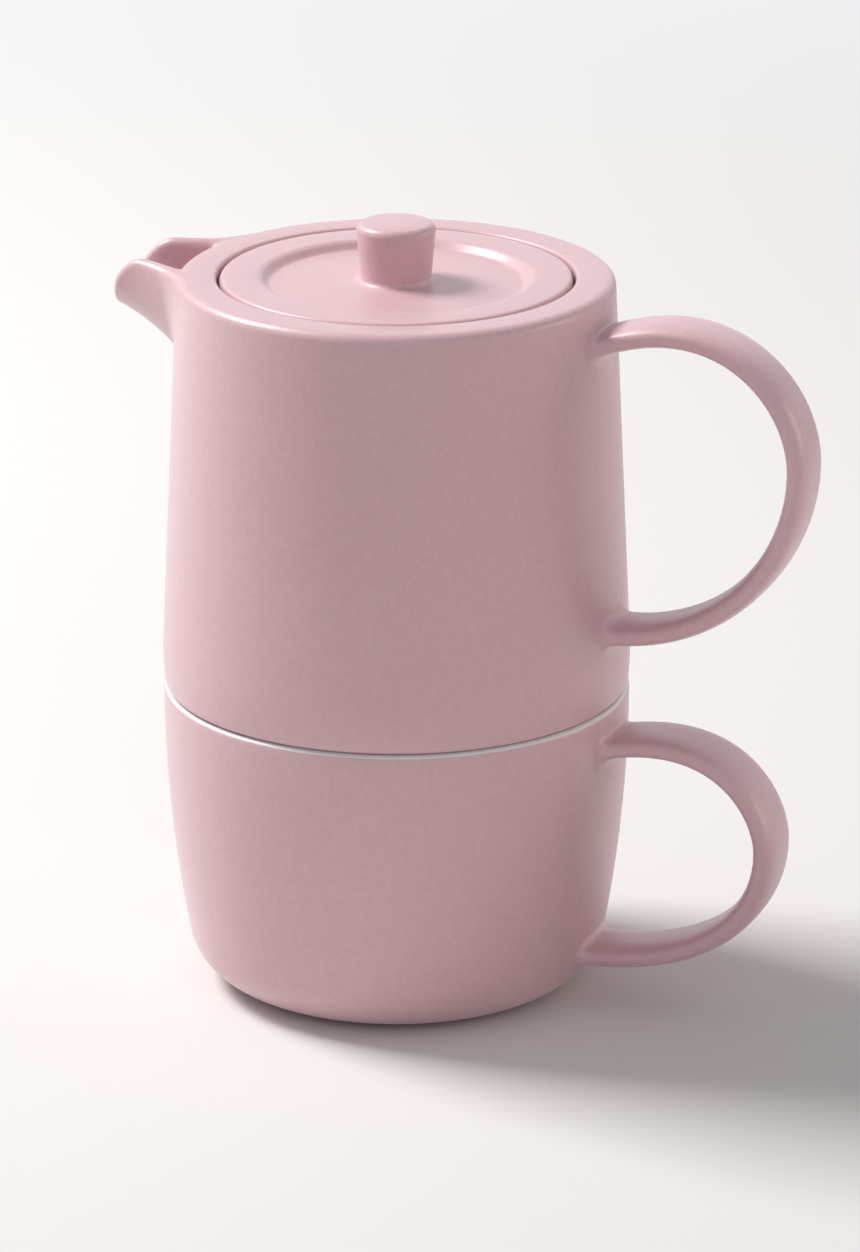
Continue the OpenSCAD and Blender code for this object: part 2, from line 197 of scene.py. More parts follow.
# %% [markdown]
# ## The cup
# The cup's side is one long arc of 300 mm radius that stands upright at the rim and draws in
# towards a rounded foot. Two arcs that touch share a normal, so the smaller one's centre lies on
# the line from the larger one's centre. That rule joins them with no kink in the highlight.

# %% Arcs that touch
def inner_touch(centre, radius, small, height):
    """The centre at a height from which a small circle touches a larger one from inside."""
    reach = math.sqrt((radius - small) ** 2 - (height - centre[1]) ** 2)
    return centre[0] + reach, height


def bearing(a, b):
    """The angle of the way from a to b, in degrees."""
    return math.degrees(math.atan2(b[1] - a[1], b[0] - a[0]))


cup_side = (CUP_RADIUS - SIDE_CURVE, CUP_HEIGHT - RIM_ROUND)
cup_bend = inner_touch(cup_side, SIDE_CURVE, CUP_CORNER, FOOT_RELIEF + CUP_CORNER)


def cup_outer_radius(z):
    if z > cup_bend[1]:
        return cup_side[0] + math.sqrt(SIDE_CURVE ** 2 - (z - cup_side[1]) ** 2)
    return cup_bend[0] + math.sqrt(CUP_CORNER ** 2 - (z - cup_bend[1]) ** 2)


# %% The cup's profile
def cup_profile():
    floor_z = FOOT_HOLLOW + CUP_FLOOR
    foot_in = FOOT_RADIUS - FOOT_WIDTH
    inner_corner, inner_curve = CUP_CORNER - CUP_WALL, SIDE_CURVE - CUP_WALL
    inside = inner_touch(cup_side, inner_curve, inner_corner, floor_z + inner_corner)
    lip_radius = CUP_RADIUS - CUP_WALL + LIP_ROUND
    return (
        [(0, FOOT_HOLLOW), (foot_in - 0.7, FOOT_HOLLOW), (foot_in - 0.3, FOOT_HOLLOW - 0.4)]
        + arc((foot_in + FOOT_ROUND, FOOT_ROUND), FOOT_ROUND, 180, 270, 3)
        + arc((FOOT_RADIUS - FOOT_ROUND, FOOT_ROUND), FOOT_ROUND, 270, 350, 3)
        + [(FOOT_RADIUS + 0.25, FOOT_RELIEF - 0.2), (FOOT_RADIUS + 0.7, FOOT_RELIEF)]
        + arc(cup_bend, CUP_CORNER, -90, bearing(cup_side, cup_bend), 18)
        + arc(cup_side, SIDE_CURVE, bearing(cup_side, cup_bend), 0, 14)[1:]
        + arc((CUP_RADIUS - RIM_ROUND, CUP_HEIGHT - RIM_ROUND), RIM_ROUND, 0, 90, 9)[1:]
        + arc((lip_radius, CUP_HEIGHT - LIP_ROUND), LIP_ROUND, 90, 180, 6)
        + arc(cup_side, inner_curve, 0, bearing(cup_side, inside), 12)
        + arc(inside, inner_corner, bearing(cup_side, inside), -90, 14)[1:]
        + [(0, floor_z)])


cup = throw("glazed_cup", cup_profile())
report(cup)

# %% [markdown]
# ## The teapot's body
# The pot is widest just above its lower edge, then tapers in a straight line to the rim. Under
# it, a ring reaches down into the cup and keeps it from sliding off. At the top, the opening has
# a ledge for the lid, which needs to be strong, so the wall thickens towards it.

# %% The pot's outer line
def shared_normal(c1, r1, c2, r2):
    """The angle at which one straight line touches two circles."""
    return bearing(c1, c2) - math.degrees(math.acos((r1 - r2) / math.dist(c1, c2)))


belly = (BELLY_RADIUS - BELLY_CURVE, BELLY_Z)
pot_rim = (POT_TOP_RADIUS - POT_RIM_ROUND, POT_TOP - POT_RIM_ROUND)
taper = shared_normal(belly, BELLY_CURVE, pot_rim, POT_RIM_ROUND)


def pot_outer_radius(z):
    """The radius of the pot's straight taper at a height."""
    slope = math.radians(taper)
    top = POT_TOP_RADIUS - POT_RIM_ROUND * (1 - 1 / math.cos(slope))
    return top + (pot_rim[1] - z) * math.tan(slope)


# %% The pot's profile
def pot_profile():
    corner = inner_touch(belly, BELLY_CURVE, POT_CORNER, CUP_HEIGHT + POT_CORNER)
    nest_in = NEST_RADIUS - NEST_WIDTH
    floor_z = POT_BASE_Z + POT_FLOOR
    low, high = BELLY_RADIUS - POT_WALL, POT_TOP_RADIUS - POT_WALL
    under_ledge = LEDGE_Z - LEDGE_THICKNESS
    return (
        [(0, POT_BASE_Z), (nest_in - 0.6, POT_BASE_Z), (nest_in, POT_BASE_Z - 0.6)]
        + arc((nest_in + NEST_IN_ROUND, NEST_Z + NEST_IN_ROUND), NEST_IN_ROUND, 180, 270, 4)
        + arc((NEST_RADIUS - NEST_OUT_ROUND, NEST_Z + NEST_OUT_ROUND), NEST_OUT_ROUND, 270, 360, 5)
        + [(NEST_RADIUS, CUP_HEIGHT - 0.5), (NEST_RADIUS + 0.3, CUP_HEIGHT)]
        + arc(corner, POT_CORNER, -90, bearing(belly, corner), 8)
        + arc(belly, BELLY_CURVE, bearing(belly, corner), taper, 8)[1:]
        + arc(pot_rim, POT_RIM_ROUND, taper, 90, 9)
        + arc((OPENING_RADIUS + OPENING_ROUND, POT_TOP - OPENING_ROUND), OPENING_ROUND, 90, 180, 5)
        + [(OPENING_RADIUS, LEDGE_Z + 0.4), (OPENING_RADIUS - 0.4, LEDGE_Z)]
        + arc((LEDGE_RADIUS + LEDGE_ROUND, LEDGE_Z - LEDGE_ROUND), LEDGE_ROUND, 90, 180, 4)
        + arc((LEDGE_RADIUS + LEDGE_ROUND, under_ledge + LEDGE_ROUND), LEDGE_ROUND, 180, 270, 4)
        + arc((high - CEILING_ROUND, under_ledge - CEILING_ROUND), CEILING_ROUND, 90, 0, 6)
        + arc((low - FLOOR_ROUND, floor_z + FLOOR_ROUND), FLOOR_ROUND, 0, -90, 9)
        + [(0, floor_z)])


teapot = throw("glazed_teapot", pot_profile())
report(teapot)

# %% [markdown]
# ## The lid
# The lid lies flush with the rim. It has a shallow round dish, out of which the knob rises, and
# a skirt underneath that keeps it in place when the pot is tipped to pour.

# %% The lid's profile
def lid_profile():
    skirt_in = SKIRT_RADIUS - SKIRT_WALL
    skirt_z = LEDGE_Z - SKIRT_DEPTH
    under = DISH_Z - LID_PLATE
    under_in = skirt_in - SKIRT_TOP_ROUND
    tilt = math.radians(DISH_TILT)
    rounds = DISH_ROUND + DISH_CORNER
    floor = DISH_RADIUS - rounds * math.sin(tilt)
    floor -= (DISH_DEPTH - rounds * (1 - math.cos(tilt))) / math.tan(tilt)
    knob_z, root = DISH_Z + DISH_RISE, KNOB_FOOT_RADIUS + KNOB_ROOT_ROUND
    knob_top = knob_z + KNOB_HEIGHT
    crown = [(r, knob_top - KNOB_CROWN * (r / KNOB_TOP_RADIUS) ** 2)
             for r in (5.5, 4, 2.5, 1.2, 0)]
    rise = [(r, DISH_Z + DISH_RISE * (1 - ((r - root) / (floor - root)) ** 2))
            for r in (24, 21, 18, 15, 12, 10)]
    return (
        [(0, under + DISH_RISE), (under_in, under)]
        + arc((under_in, under - SKIRT_TOP_ROUND), SKIRT_TOP_ROUND, 90, 0, 4)[1:]
        + arc((skirt_in + SKIRT_ROUND, skirt_z + SKIRT_ROUND), SKIRT_ROUND, 180, 270, 4)
        + arc((SKIRT_RADIUS - SKIRT_ROUND, skirt_z + SKIRT_ROUND), SKIRT_ROUND, 270, 360, 4)
        + [(SKIRT_RADIUS, LEDGE_Z - 0.4), (SKIRT_RADIUS + 0.4, LEDGE_Z)]
        + arc((LID_RADIUS - LID_UNDER_ROUND, LEDGE_Z + LID_UNDER_ROUND),
              LID_UNDER_ROUND, 270, 360, 3)
        + arc((LID_RADIUS - LID_EDGE_ROUND, POT_TOP - LID_EDGE_ROUND), LID_EDGE_ROUND, 0, 90, 7)
        + arc((DISH_RADIUS, POT_TOP - DISH_ROUND), DISH_ROUND, 90, 90 + DISH_TILT, 8)
        + arc((floor, DISH_Z + DISH_CORNER), DISH_CORNER, DISH_TILT - 90, -90, 6)
        + rise
        + arc((root, knob_z + KNOB_ROOT_ROUND), KNOB_ROOT_ROUND, 270, 180, 6)
        + arc((KNOB_TOP_RADIUS - KNOB_ROUND, knob_top - KNOB_ROUND - 0.3), KNOB_ROUND, -4, 84, 9)
        + crown)


lid = throw("glazed_lid", lid_profile(), columns=144)
report(lid)

# %% [markdown]
# ## Pulling the handles
# A handle is a strap of clay that is pulled to its shape, bent and stuck on. The strap is a flat
# oval ring that is extruded again and again along two curves that meet at the furthest point.
# Near the wall each ring spreads like a quarter round, as the potter smooths the joint with a
# wet finger, and it follows the wall's own curve, so that the two surfaces meet almost level.
# A bevelled curve would give the same strap, but no such root.

# %% Laying rings
def loft(name, rings, closed=True):
    """Extrudes a ring again and again, and lays each new ring point by point on its place.

    closed says that the last ring needs a face; otherwise its two sides meet and merge.
    """
    start_clean()
    bpy.ops.mesh.primitive_circle_add(vertices=len(rings[0]))
    piece = bpy.context.object
    piece.name = piece.data.name = name
    bpy.ops.object.mode_set(mode="EDIT")
    bpy.ops.mesh.select_all(action="SELECT")
    mesh = bmesh.from_edit_mesh(piece.data)
    order = {v.index: i for i, v in enumerate(mesh.verts)}
    for v in mesh.verts:
        v.co = rings[0][order[v.index]]
    bpy.ops.mesh.fill()
    bpy.ops.mesh.select_all(action="DESELECT")
    mesh = bmesh.from_edit_mesh(piece.data)
    mesh.edges.ensure_lookup_table()
    for e in mesh.edges:
        if len(e.link_faces) == 1:
            e.select_set(True)
    for ring in rings[1:]:
        bpy.ops.mesh.extrude_edges_move()
        mesh = bmesh.from_edit_mesh(piece.data)
        mesh.verts.index_update()
        fresh = {}
        for v in mesh.verts:
            if v.select:
                below = next(e.other_vert(v) for e in v.link_edges if not e.other_vert(v).select)
                fresh[v] = order[below.index]
        for v, i in fresh.items():
            v.co = ring[i]
        order = {v.index: i for v, i in fresh.items()}
    if closed:
        bpy.ops.mesh.fill()
    tidy_mesh(piece)
    return piece


# %% How a root spreads
# ROOT_TURN is the length over which a strap turns to its wall, and EMBED how deep it reaches in.
ROOT_ROUND, ROOT_TURN, ROOT_WIDER, EMBED = 1.9, 9.0, 0.13, 1.2


def clamp(t):
    return max(0.0, min(1.0, t))


def spread(distance, radius, least=0.12):
    """How far a root stands out at a distance from its wall; it plunges straight in at the end."""
    d = clamp(max(distance / radius, least / radius))
    out = radius * (1 - math.sqrt(1 - (1 - d) ** 2))
    if distance < least:
        steep = (1 - d) / math.sqrt(1 - (1 - d) ** 2)
        out += steep * (least - distance)
    return out


# %% The strap and its path
HANDLE_THICKNESS, OVAL_POINTS, OVAL_POWER = 5.2, 48, 0.72
STRAP_STEPS, CLOSER_AT_ROOT = 34, 1.9


def cubic(p, t):
    """A point on the curve that four points p pull."""
    u = 1 - t
    return u ** 3 * p[0] + 3 * u * u * t * p[1] + 3 * u * t * t * p[2] + t ** 3 * p[3]


def cubic_way(p, t):
    """The way along that curve, one unit long."""
    u = 1 - t
    way = u * u * (p[1] - p[0]) + 2 * u * t * (p[2] - p[1]) + t * t * (p[3] - p[2])
    return way / np.linalg.norm(way)


def oval(half_width, half_thickness):
    """A flat oval with full corners; a power of 1 would make it an ellipse."""
    points = []
    for k in range(OVAL_POINTS):
        a = 2 * math.pi * k / OVAL_POINTS
        c, s = math.cos(a), math.sin(a)
        points.append((half_width * math.copysign(abs(c) ** OVAL_POWER, c),
                       half_thickness * math.copysign(abs(s) ** OVAL_POWER, s)))
    return points


# %% Places along a handle
def handle_places(start, end, out, rise, pulls):
    """Points and ways along two curves, from the upper root out to the tip and in again.

    rise is the angle at which the strap leaves its upper root, and pulls are the lengths by
    which the four ends of the two curves are pulled straight on.
    """
    out = np.array(out)
    tilt = math.radians(rise)
    first = [start, start + pulls[0] * np.array([math.cos(tilt), math.sin(tilt)]),
             out + (0, pulls[1]), out]
    second = [out, out - (0, pulls[2]), end + (pulls[3], 0), end]
    closing = [(i / STRAP_STEPS) ** CLOSER_AT_ROOT for i in range(STRAP_STEPS + 1)]
    places = [(cubic(first, t), cubic_way(first, t)) for t in closing]
    return places + [(cubic(second, 1 - t), cubic_way(second, 1 - t))
                     for t in reversed(closing[:-1])]


# %% Rings of a handle
def handle_rings(upper, lower, wall, out, rise, pulls, width):
    start = np.array([wall(upper) - EMBED, upper])
    end = np.array([wall(lower) - EMBED, lower])
    rings = []
    for c, way in handle_places(start, end, out, rise, pulls):
        at_upper = np.linalg.norm(c - start) < np.linalg.norm(c - end)
        root = start if at_upper else end
        from_root = np.linalg.norm(c - root)
        clear = from_root - EMBED
        normal = np.array([-way[1], way[0]])
        upright = np.array([0.0, -1.0 if normal[1] < 0 else 1.0])
        turn = clamp(from_root / ROOT_TURN)
        up = upright + (normal - upright) * turn
        up /= np.linalg.norm(up)
        extra = spread(clear, ROOT_ROUND)
        half_width = width / 2 * (1 + ROOT_WIDER * (1 - turn) ** 2)
        ring = []
        for across, thick in oval(half_width + extra, HANDLE_THICKNESS / 2 + extra):
            x, z = c + up * thick
            behind = root[0] + EMBED - math.sqrt(wall(z) ** 2 - across ** 2)
            ring.append((x - behind * (1 - turn), across, z))
        rings.append(ring)
    return rings


# %% Pull the cup's handle
CUP_UPPER, CUP_LOWER, CUP_REACH = CUP_HEIGHT - 8.4, 11.4, 35.1
span = CUP_UPPER - CUP_LOWER
cup_handle = loft("cup_handle", handle_rings(
    CUP_UPPER, CUP_LOWER, cup_outer_radius,
    out=(CUP_RADIUS + CUP_REACH, CUP_LOWER + 0.6 * span), rise=15.5,
    pulls=[share * span for share in (0.6, 0.18, 0.32, 0.6)], width=15.6))
report(cup_handle)

# %% Pull the pot's handle
POT_UPPER, POT_LOWER, POT_REACH = POT_TOP - 10.4, CUP_HEIGHT + 17.3, 40.8
span = POT_UPPER - POT_LOWER
pot_handle = loft("pot_handle", handle_rings(
    POT_UPPER, POT_LOWER, pot_outer_radius,
    out=(BELLY_RADIUS + POT_REACH, POT_LOWER + 0.64 * span), rise=25,
    pulls=[share * span for share in (0.49, 0.255, 0.3, 0.44)], width=14.0))
report(pot_handle)

# %% [markdown]
# ## The spout
# The spout is an open beak: a sheet of clay that is bent to a channel and narrows from the body
# to its lip, where each flank ends in a round lobe. It is drawn as the middle of that sheet.
# `s` runs from the body (0) to the lip (1), and `phi` from one upper edge (-90 degrees) under
# the bed to the other. The two surfaces lie half a thickness to either side, and every edge is a
# round as wide as the sheet is thick. At the body both surfaces spread along the wall.
# No primitive bends like that, so each extruded ring is laid point by point.

# %% Sizes of the spout
SPOUT_ROOT_HALF, SPOUT_LIP_HALF, FLANK_SWEEP = 16.2, 9.8, 1.5
SPOUT_DEPTH, NOSE_DROP, BED_SWEEP, WALL_S = 25.0, 12.6, 0.61, 0.1
SPOUT_REACH, LIP_REACH = 17.0, 13.2
SPOUT_WALL, FLANK_ROOT_WALL, BED_ROOT_WALL = 2.8, 4.4, 4.1
FLANK_ROUND, BED_ROUND, POCKET_ROUND, POCKET_BED_ROUND = 5.0, 0.9, 2.0, 1.3
MOST_SPREAD, FLANK_SHARE = 1.4, 0.35
LOBE_START, LOBE_BEND, LOBE_DROP, LOBE_LIFT = 0.72, 0.97, 4.6, 0.4
# The upper edge lies a hair under the pot's rim, so that the union never meets two equal planes.
SINK = 0.02


def blend(a, b, t):
    return a + (b - a) * t


def unit(v):
    return v / np.linalg.norm(v)


# %% How finely it is drawn
# The first rings lie inside the wall, where the union cuts them off.
SIDE_POINTS, EDGE_POINTS = 40, 6
WALL_RINGS, FIRST_RING, RING_STEP, ROOT_RINGS = [-0.08, 0.0], 0.055, 0.0125, 32
BODY_RINGS, LOBE_RINGS = 10, 12
ALONG_STEP = 0.0005


# %% The middle of the sheet
def sheet_sizes(s):
    """Thickness of flanks and bed, the edge's round, and the middle's half width and depth."""
    flank, bed = blend(FLANK_ROOT_WALL, SPOUT_WALL, s), blend(BED_ROOT_WALL, SPOUT_WALL, s)
    edge = blend(POT_RIM_ROUND, SPOUT_WALL / 2, s)
    half = blend(SPOUT_LIP_HALF, SPOUT_ROOT_HALF, (1 - s) ** FLANK_SWEEP) - flank / 2
    if s > WALL_S:
        rise = s ** BED_SWEEP
    else:  # inside the wall the bed runs straight on
        rise = WALL_S ** BED_SWEEP * (1 + BED_SWEEP * (s / WALL_S - 1))
    deep = blend(SPOUT_DEPTH, NOSE_DROP, rise) - edge - bed / 2
    return flank, bed, edge, half, deep


def sheet(s, phi):
    """A point on the middle of the sheet."""
    flank, bed, edge, half, deep = sheet_sizes(s)
    y, fall = half * math.sin(phi), deep * math.cos(phi)
    wall = math.sqrt((POT_TOP_RADIUS - POT_WALL / 2) ** 2 - y * y)
    reach = blend(LIP_REACH, SPOUT_REACH, fall / (deep + bed / 2))
    lip = POT_TOP_RADIUS - SPOUT_WALL / 2 + reach
    t = clamp(s / LOBE_START)
    lift = LOBE_LIFT * t * t * (3 - 2 * t)
    return np.array([-blend(wall, lip, s), y, POT_TOP - SINK + lift - edge - fall])


def sheet_end(s):
    """The angle at which the upper edge lies; near the lip it bends down like part of a circle."""
    t = LOBE_BEND * clamp((s - LOBE_START) / (1 - LOBE_START))
    drop = LOBE_DROP * (1 - math.sqrt(1 - t * t)) / (1 - math.sqrt(1 - LOBE_BEND ** 2))
    return math.acos(drop / sheet_sizes(s)[-1])


def sheet_ways(s, phi, step=0.001):
    """The ways across the sheet and straight out of it, away from the channel."""
    along = sheet(s, phi) - sheet(s - step, phi)
    across = sheet(s, phi + step) - sheet(s, phi - step)
    return unit(across), unit(np.cross(along, across))


# %% The joint with the wall
def pot_skin(z):
    """The pot's outer radius, with its rounded rim."""
    if z <= pot_rim[1]:
        return pot_outer_radius(z)
    return pot_rim[0] + math.sqrt(max(0.0, POT_RIM_ROUND ** 2 - (z - pot_rim[1]) ** 2))


def flare(point, way, radius, wall=pot_outer_radius):
    """Spreads a point along the pot's wall, as the clay is smoothed into the joint."""
    clear = math.hypot(point[0], point[1]) - wall(point[2])
    extra = min(spread(clear, radius), MOST_SPREAD * radius)
    outward = unit(np.array([point[0], point[1], 0]))
    moved = point + extra * unit(way - way.dot(outward) * outward)
    x = math.sqrt((wall(moved[2]) + clear) ** 2 - moved[1] ** 2)
    return np.array([-x, moved[1], moved[2]])


# %% A ring round the sheet
def spout_sides(s, end, turn):
    """Both sides of the sheet between its upper edges, and what rounds the edges off."""
    flank, bed, edge, half, deep = sheet_sizes(s)
    outer, inner, corners = [], [], {}
    for k in range(SIDE_POINTS + 1):
        phi = end * (2 * k / SIDE_POINTS - 1)
        low = math.cos(phi) ** 2
        across, normal = sheet_ways(s, phi)
        over = unit(np.cross(across, normal))
        outer_round = blend(FLANK_ROUND, BED_ROUND, low ** FLANK_SHARE)
        inner_round = blend(POCKET_ROUND, POCKET_BED_ROUND, low)
        for side, way, radius in ((outer, normal, outer_round), (inner, -normal, inner_round)):
            straight = sheet(s, phi) + blend(flank, bed, low) / 2 * way
            point = flare(straight, way, radius)
            if k in (0, SIDE_POINTS):
                corner = point if side is outer else straight
                corners[(k > 0, side is outer)] = (corner - edge * way, way, over)
            if turn:
                point = sheet(s, phi) + edge * (way * math.cos(turn) + over * math.sin(turn))
            side.append(point)
    return outer, inner, corners


def spout_edge(s, end, turn, corners, far):
    """From the outer side over both rounded corners of one upper edge to the inner side."""
    edge, side = sheet_sizes(s)[2], 1 if far else -1
    along = sheet(s, side * end) - sheet(s - ALONG_STEP, side * sheet_end(s - ALONG_STEP))
    points = []
    for first, from_outer in ((1, True), (0, False)):
        centre, way, over = corners[(far, from_outer)]
        normal = way if from_outer else -way
        up = over if s == 1 else unit(np.cross(normal, along) * side)
        for i in range(first, first + EDGE_POINTS):
            t = math.pi / 2 * (i / EDGE_POINTS if from_outer else 1 - i / EDGE_POINTS)
            t = max(t, turn)
            point = centre + edge * (way * math.cos(t) + up * math.sin(t))
            points.append(point if from_outer else flare(point, way, POCKET_ROUND, pot_skin))
    return points


def spout_ring(s, turn=0.0):
    """A whole ring. At the lip, turn draws its two sides together over the round."""
    end = sheet_end(s)
    outer, inner, corners = spout_sides(s, end, turn)
    return (outer + spout_edge(s, end, turn, corners, True)
            + inner[::-1] + spout_edge(s, end, turn, corners, False)[::-1])


# %% Draw the spout out
lengths = WALL_RINGS + [FIRST_RING + RING_STEP * i for i in range(ROOT_RINGS)]
lengths += [blend(lengths[-1], LOBE_START, i / BODY_RINGS) for i in range(1, BODY_RINGS + 1)]
bends = [math.asin(LOBE_BEND) * i / LOBE_RINGS for i in range(1, LOBE_RINGS)]
lengths += [blend(LOBE_START, 1, math.sin(a) / LOBE_BEND) for a in bends] + [1]
rolls = [math.pi / 2 * i / EDGE_POINTS for i in range(1, EDGE_POINTS + 1)]
spout = loft("spout", [spout_ring(s) for s in lengths] + [spout_ring(1, a) for a in rolls],
             closed=False)
report(spout)

# %% [markdown]
# ## Joining the clay
# A union turns body, handle and spout into one closed skin, as slip does with the real pieces.
# The strainer's holes are then drilled through the wall behind the spout, in rows that step in
# by half a pitch.

# %% Join and drill
def cut_or_join(piece, other, how):
    work_on(piece)
    bpy.ops.object.modifier_add(type="BOOLEAN")
    modifier = piece.modifiers[-1]
    modifier.operation, modifier.solver, modifier.object = how, "EXACT", other
    bpy.ops.object.modifier_apply(modifier=modifier.name)
    bpy.data.objects.remove(other)
    tidy_mesh(piece)


cut_or_join(cup, cup_handle, "UNION")
report(cup)
cut_or_join(teapot, pot_handle, "UNION")
report(teapot)
cut_or_join(teapot, spout, "UNION")
report(teapot)

# %% The strainer
HOLE, PITCH, TOP_ROW, ROWS, STRAINER_DROP = 2.6, 4.2, 4, 3, 3.0
ROW_PITCH = 0.9 * PITCH
for row in range(ROWS):
    count = TOP_ROW - row
    z = LEDGE_Z - LEDGE_THICKNESS - STRAINER_DROP - row * ROW_PITCH
    for k in range(count):
        start_clean()
        bpy.ops.mesh.primitive_cylinder_add(
            vertices=24, radius=HOLE / 2, depth=2 * POT_WALL, rotation=(0, math.pi / 2, 0),
            location=(-pot_outer_radius(z) - 0.5 + POT_WALL, (k - (count - 1) / 2) * PITCH, z))
        cut_or_join(teapot, bpy.context.object, "DIFFERENCE")
report(teapot)

# %% [markdown]
# ## Glaze and bare clay
# The outside wears a satin pink glaze. The inside of the cup, up over its rim, is white. Where a
# piece stands or touches another in the kiln it has to stay bare, or it would stick, so the foot
# ring, the ring under the pot and the lid's seat show the dry clay.
# A glaze is a thin layer of glass: a clear coat over a colour that is never quite even. Here a
# wide noise and a fine one are added up to mottle the colour, the wide one also shifts the gloss,
# and a faint bump makes the highlight tremble. A little sheen gives a satin glaze its soft bloom.
# Each surface could have a picture painted for it, but noise on object coordinates needs no
# unwrapping and has the same grain everywhere.

# %% Mottled colour
WIDE_SCALE, FINE_SCALE, GRAIN_SCALE = 22.0, 800.0, 1100.0
FINE_WEIGHT, MOTTLE_LOW, MOTTLE_HIGH = 2.2, 1.1, 2.1
GLOSS_SHIFT, BUMP_HEIGHT, COAT_ROUGHNESS, GLAZE_IOR = 0.05, 0.0002, 0.3, 1.5


def noise(nodes, links, place, scale, detail):
    texture = nodes.new("ShaderNodeTexNoise")
    texture.inputs["Scale"].default_value = scale
    texture.inputs["Detail"].default_value = detail
    links.new(place.outputs["Object"], texture.inputs["Vector"])
    return texture


def mottle(nodes, links, wide, fine, colour, deeper):
    """Adds a wide and a fine noise, and lays the sum on a ramp between two colours."""
    both = nodes.new("ShaderNodeMath")
    both.operation = "MULTIPLY_ADD"
    both.inputs[1].default_value = FINE_WEIGHT
    links.new(fine.outputs["Fac"], both.inputs[0])
    links.new(wide.outputs["Fac"], both.inputs[2])
    span = nodes.new("ShaderNodeMapRange")
    span.inputs["From Min"].default_value = MOTTLE_LOW
    span.inputs["From Max"].default_value = MOTTLE_HIGH
    links.new(both.outputs["Value"], span.inputs["Value"])
    ramp = nodes.new("ShaderNodeValToRGB")
    ramp.color_ramp.elements[0].color = (*deeper, 1)
    ramp.color_ramp.elements[1].color = (*colour, 1)
    links.new(span.outputs["Result"], ramp.inputs["Fac"])
    return ramp.outputs["Color"]


# %% A glaze
def lay_glaze(name, colour, deeper, roughness, coat, bump, bloom=0.0):
    material = bpy.data.materials.new(name)
    material.use_nodes = True
    nodes, links = material.node_tree.nodes, material.node_tree.links
    shader = nodes["Principled BSDF"]
    place = nodes.new("ShaderNodeTexCoord")
    wide = noise(nodes, links, place, WIDE_SCALE, 1.0)
    fine = noise(nodes, links, place, FINE_SCALE, 2.0)
    grain = noise(nodes, links, place, GRAIN_SCALE, 2.0)
    links.new(mottle(nodes, links, wide, fine, colour, deeper), shader.inputs["Base Color"])
    gloss = nodes.new("ShaderNodeMapRange")
    gloss.inputs["To Min"].default_value = roughness - GLOSS_SHIFT
    gloss.inputs["To Max"].default_value = roughness + GLOSS_SHIFT
    links.new(wide.outputs["Fac"], gloss.inputs["Value"])
    links.new(gloss.outputs["Result"], shader.inputs["Roughness"])
    ripple = nodes.new("ShaderNodeBump")
    ripple.inputs["Strength"].default_value = bump
    ripple.inputs["Distance"].default_value = BUMP_HEIGHT
    links.new(grain.outputs["Fac"], ripple.inputs["Height"])
    links.new(ripple.outputs["Normal"], shader.inputs["Normal"])
    shader.inputs["Coat Weight"].default_value = coat
    shader.inputs["Coat Roughness"].default_value = COAT_ROUGHNESS
    shader.inputs["Sheen Weight"].default_value = bloom
    shader.inputs["IOR"].default_value = GLAZE_IOR
    print(f"{name}: roughness {roughness}, coat {coat}, bloom {bloom}")
    return material


# %% The two glazes and the clay
pink = lay_glaze("satin_pink_glaze", (0.665, 0.422, 0.455), (0.625, 0.382, 0.415),
                 roughness=0.55, coat=0.7, bump=0.1, bloom=0.22)
white = lay_glaze("white_glaze", (0.80, 0.78, 0.77), (0.76, 0.74, 0.73),
                  roughness=0.25, coat=0.5, bump=0.06)
bare = lay_glaze("bare_clay", (0.68, 0.60, 0.54), (0.60, 0.52, 0.46),
                 roughness=0.85, coat=0.0, bump=0.6)

# %% Which face wears what
# Lines and margins say how far a finish reaches from the place where a piece stands or touches.
PINK, WHITE, BARE = range(3)
SEAT_GAP, FOOT_LINE, NEST_LINE, RIM_BAND = 0.1, 0.12, 0.3, 0.6
FOOT_MARGIN, LEDGE_MARGIN, SKIRT_MARGIN = 0.1, 0.5, 0.2


def dress(piece, rule):
    """Gives every face the finish that its distance from the axis and its height ask for."""
    piece.data.materials.clear()
    for material in (pink, white, bare):
        piece.data.materials.append(material)
    for face in piece.data.polygons:
        c = face.center
        face.material_index = rule(math.hypot(c.x, c.y), c.z)
    worn = [sum(face.material_index == i for face in piece.data.polygons) for i in range(3)]
    print(f"{piece.name}: {worn[PINK]} pink, {worn[WHITE]} white and {worn[BARE]} bare faces")


def cup_rule(r, z):
    if z < FOOT_LINE and r < FOOT_RADIUS + FOOT_MARGIN:
        return BARE
    inside = r < CUP_RADIUS - CUP_WALL / 2 and z > FOOT_HOLLOW + CUP_FLOOR - NEAR
    return WHITE if (inside and r < cup_outer_radius(z) - 1) or z > CUP_HEIGHT - RIM_BAND else PINK


def pot_rule(r, z):
    on_ledge = abs(z - LEDGE_Z) < SEAT_GAP and LEDGE_RADIUS + LEDGE_MARGIN < r < OPENING_RADIUS
    return BARE if on_ledge or z < NEST_Z + NEST_LINE else PINK


def lid_rule(r, z):
    return BARE if abs(z - LEDGE_Z) < SEAT_GAP and r > SKIRT_RADIUS + SKIRT_MARGIN else PINK


dress(cup, cup_rule)
dress(teapot, pot_rule)
dress(lid, lid_rule)

# %% [markdown]
# ## Life size
# Every piece is shrunk to metres in edit mode, so that its object stays at the origin, unturned
# and unscaled. Smooth shading then follows every edge that is softer than 35 degrees. Each piece
# takes the place of its node in the measured model.

